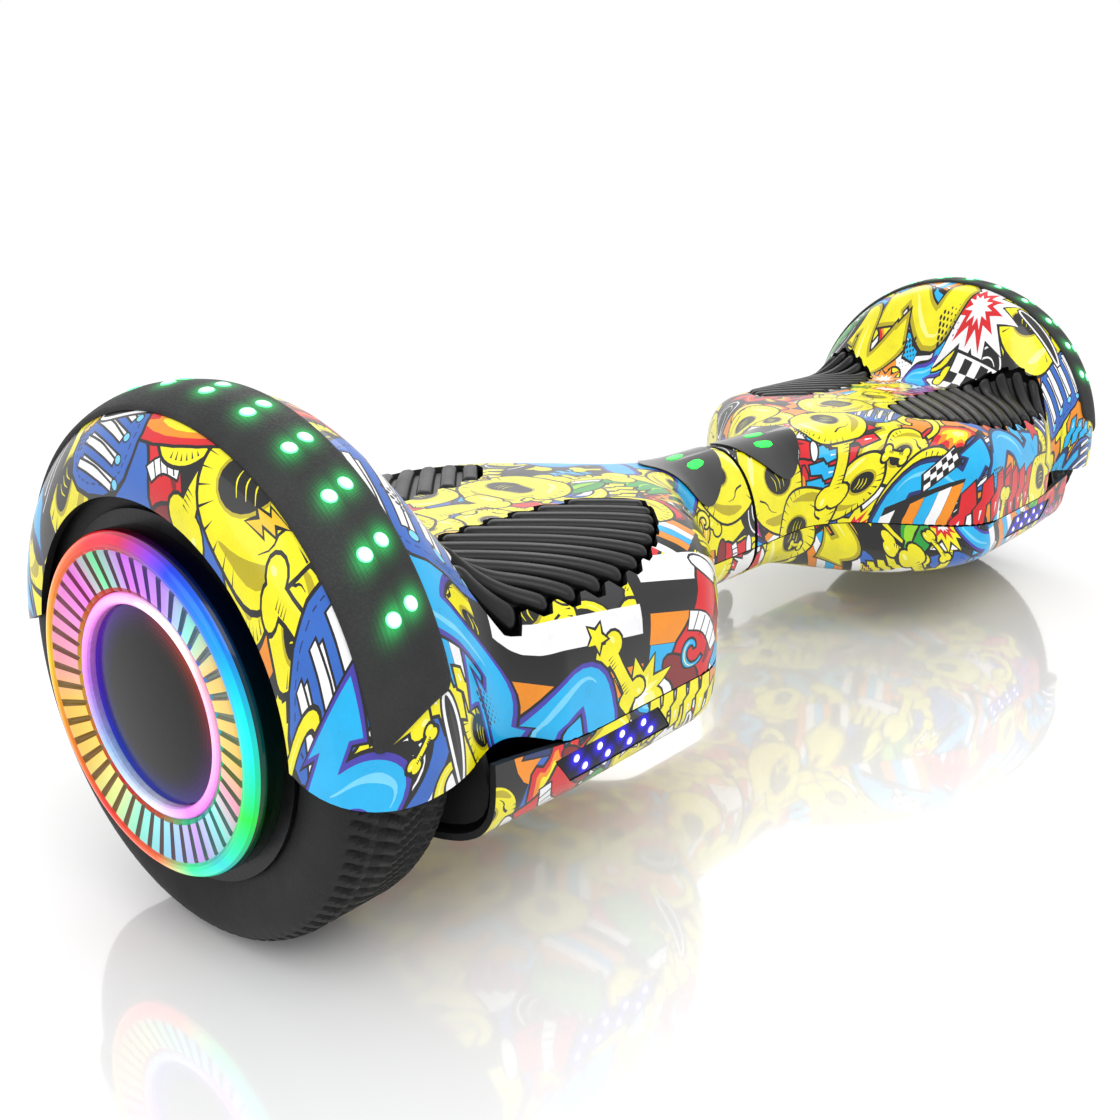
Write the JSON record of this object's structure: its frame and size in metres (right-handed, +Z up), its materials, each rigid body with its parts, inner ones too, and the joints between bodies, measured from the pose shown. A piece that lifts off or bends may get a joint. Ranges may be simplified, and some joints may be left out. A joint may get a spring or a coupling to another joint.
{
  "type": "self balancing hoverboard",
  "caption": "Self-balancing board whose deck halves tilt about the wheel axle, with lit hub-motor wheels, ribbed foot pads, fender light strips and a tapered waist.",
  "frame": {"origin": "the floor point under the middle of the board, where the tyres stand", "axes": "+X along the wheel axle toward the right half, +Y toward the rear, +Z up"},
  "size_m": [0.586, 0.1822, 0.1732],
  "materials": {
    "printed_shell": "glossy clear coat over a busy printed pattern",
    "cast_frame": "as-cast",
    "black_plastic": "matte moulded",
    "textured_strip": "fine leather-like grain",
    "green_light": "lit diffuser",
    "dark_lens": "smoked gloss",
    "blue_light": "lit diffuser",
    "circuit_board": "solder mask",
    "black_steel": "black oxide",
    "copper_windings": "enamelled wire",
    "bright_steel": "ground",
    "tyre_rubber": "solid rubber with fine ribs",
    "rim_metal": "machined",
    "lit_cover": "lit translucent cover with radial bars",
    "lit_ring": "lit light guide",
    "gloss_disc": "high gloss",
    "pad_rubber": "satin rubber with ribs",
    "battery_wrap": "shrink wrap",
    "bushing_bronze": "sintered",
    "red_button": "gloss"
  },
  "bodies": {
    "left_half": {"left_top_shell": "printed_shell", "left_bottom_shell": "printed_shell", "left_frame": "cast_frame", "left_axle_clamp": "cast_frame", "left_wheel_liner": "black_plastic", "left_fender_strip": "textured_strip", "left_fender_lights": "green_light", "left_waist_panel": "dark_lens", "left_waist_lights": "green_light", "left_headlight_lens": "dark_lens", "left_headlight_leds": "blue_light", "left_sensor_board": "circuit_board", "left_screws": "black_steel", "left_stator": "copper_windings", "left_axle": "bright_steel", "battery_pack": "battery_wrap", "battery_strap": "black_plastic", "pivot_tube": "bright_steel", "pivot_circlip": "black_steel", "waist_seal": "pad_rubber"},
    "right_half": {"right_top_shell": "printed_shell", "right_bottom_shell": "printed_shell", "right_frame": "cast_frame", "right_axle_clamp": "cast_frame", "right_wheel_liner": "black_plastic", "right_fender_strip": "textured_strip", "right_fender_lights": "green_light", "right_waist_panel": "dark_lens", "right_waist_lights": "green_light", "right_headlight_lens": "dark_lens", "right_headlight_leds": "blue_light", "right_sensor_board": "circuit_board", "right_screws": "black_steel", "right_stator": "copper_windings", "right_axle": "bright_steel", "main_board": "circuit_board", "heat_sink": "cast_frame", "speaker": "black_plastic", "pivot_bushings": "bushing_bronze", "charge_socket": "black_plastic"},
    "left_wheel": {"left_tyre": "tyre_rubber", "left_rim": "rim_metal", "left_magnets": "bright_steel", "left_bearings": "bright_steel", "left_wheel_cover": "lit_cover", "left_cover_ring": "lit_ring", "left_cover_disc": "gloss_disc"},
    "right_wheel": {"right_tyre": "tyre_rubber", "right_rim": "rim_metal", "right_magnets": "bright_steel", "right_bearings": "bright_steel", "right_wheel_cover": "lit_cover", "right_cover_ring": "lit_ring", "right_cover_disc": "gloss_disc"},
    "left_front_pad": {"left_front_pad": "pad_rubber"},
    "left_rear_pad": {"left_rear_pad": "pad_rubber"},
    "right_front_pad": {"right_front_pad": "pad_rubber"},
    "right_rear_pad": {"right_rear_pad": "pad_rubber"},
    "power_button": {"power_button": "red_button"},
    "charge_cap": {"charge_cap": "pad_rubber"}
  },
  "joints": [
    {"name": "half_pivot", "type": "hinge", "parent": "left_half", "child": "right_half", "pos_m": [0, 0, 0.081], "axis": [1, 0, 0], "range_deg": [-10, 10]},
    {"name": "left_wheel_spin", "type": "hinge", "parent": "left_half", "child": "left_wheel", "pos_m": [-0.2619, 0, 0.081], "axis": [1, 0, 0], "continuous": true},
    {"name": "right_wheel_spin", "type": "hinge", "parent": "right_half", "child": "right_wheel", "pos_m": [0.2619, 0, 0.081], "axis": [1, 0, 0], "continuous": true},
    {"name": "left_front_pad_press", "type": "slide", "parent": "left_half", "child": "left_front_pad", "axis": [0, 0, -1], "range_m": [0, 0.002], "stiffness_N_per_m": 6000, "springref_m": -0.0005},
    {"name": "left_rear_pad_press", "type": "slide", "parent": "left_half", "child": "left_rear_pad", "axis": [0, 0, -1], "range_m": [0, 0.002], "stiffness_N_per_m": 6000, "springref_m": -0.0005},
    {"name": "right_front_pad_press", "type": "slide", "parent": "right_half", "child": "right_front_pad", "axis": [0, 0, -1], "range_m": [0, 0.002], "stiffness_N_per_m": 6000, "springref_m": -0.0005},
    {"name": "right_rear_pad_press", "type": "slide", "parent": "right_half", "child": "right_rear_pad", "axis": [0, 0, -1], "range_m": [0, 0.002], "stiffness_N_per_m": 6000, "springref_m": -0.0005},
    {"name": "power_button_press", "type": "slide", "parent": "right_half", "child": "power_button", "axis": [0, -1, 0], "range_m": [0, 0.0012], "stiffness_N_per_m": 1000, "springref_m": -0.0006},
    {"name": "charge_cap_hinge", "type": "hinge", "parent": "right_half", "child": "charge_cap", "pos_m": [0.15, 0.089, 0.04], "axis": [1, 0, 0], "range_deg": [0, 178]}
  ]
}
